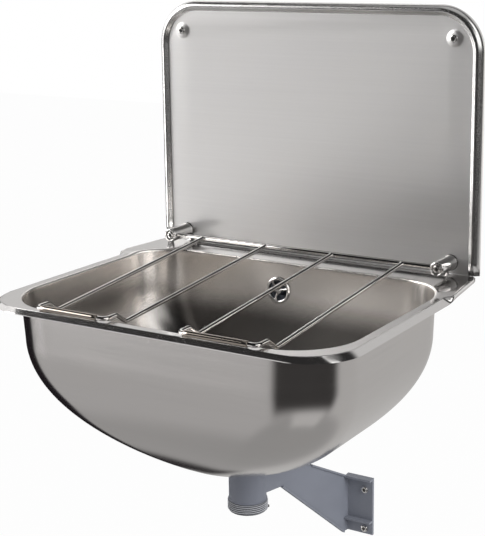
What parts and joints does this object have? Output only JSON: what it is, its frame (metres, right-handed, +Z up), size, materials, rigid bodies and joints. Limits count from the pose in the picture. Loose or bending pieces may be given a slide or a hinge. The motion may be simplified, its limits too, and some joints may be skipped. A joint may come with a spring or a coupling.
{
  "type": "slop sink",
  "caption": "Wall-hung stainless slop sink with pressed splashback, deep bowl, fold-up bucket grating on a rear rod, overflow, strainer waste and moulded support bracket.",
  "frame": {"origin": "centre of the four screws that hold the sink to the wall, on the wall's plane", "axes": "+X to the right seen from the front, +Y into the wall, +Z up"},
  "size_m": [0.4564, 0.4035, 0.6639],
  "materials": {
    "satin_steel": "satin, brushed along the sheet",
    "polished_steel": "turned and polished stainless steel",
    "rod_steel": "bright drawn stainless wire",
    "sleeve_plastic": "smooth warm grey soft plastic",
    "moulded_plastic": "matt blue-grey moulded plastic",
    "rubber": "black rubber",
    "black_oxide": "black oxide"
  },
  "bodies": {
    "sink": {"splashback": "satin_steel", "basin": "satin_steel", "boss_left": "polished_steel", "boss_right": "polished_steel", "boss_seal_left": "rubber", "boss_seal_right": "rubber", "boss_screw_left": "polished_steel", "boss_screw_right": "polished_steel", "upper_screw_left": "polished_steel", "upper_screw_right": "polished_steel", "overflow_rosette": "polished_steel", "overflow_screw": "polished_steel", "overflow_gasket": "rubber", "overflow_housing": "moulded_plastic", "overflow_pipe": "moulded_plastic", "pipe_seal": "rubber", "strainer": "polished_steel", "strainer_screw": "polished_steel", "strainer_gasket": "rubber", "outlet_gasket": "rubber", "bracket": "moulded_plastic", "locking_screw": "black_oxide", "bracket_screws": "polished_steel"},
    "grating": {"rear_rod": "rod_steel", "grate_wire_left": "rod_steel", "grate_wire_right": "rod_steel", "rim_sleeve_left": "sleeve_plastic", "rim_sleeve_right": "sleeve_plastic"}
  },
  "joints": [
    {"name": "grating_fold", "type": "hinge", "parent": "sink", "child": "grating", "pos_m": [0, -0.0392, -0.12915], "axis": [-1, 0, 0], "range_deg": [0, 98]}
  ]
}
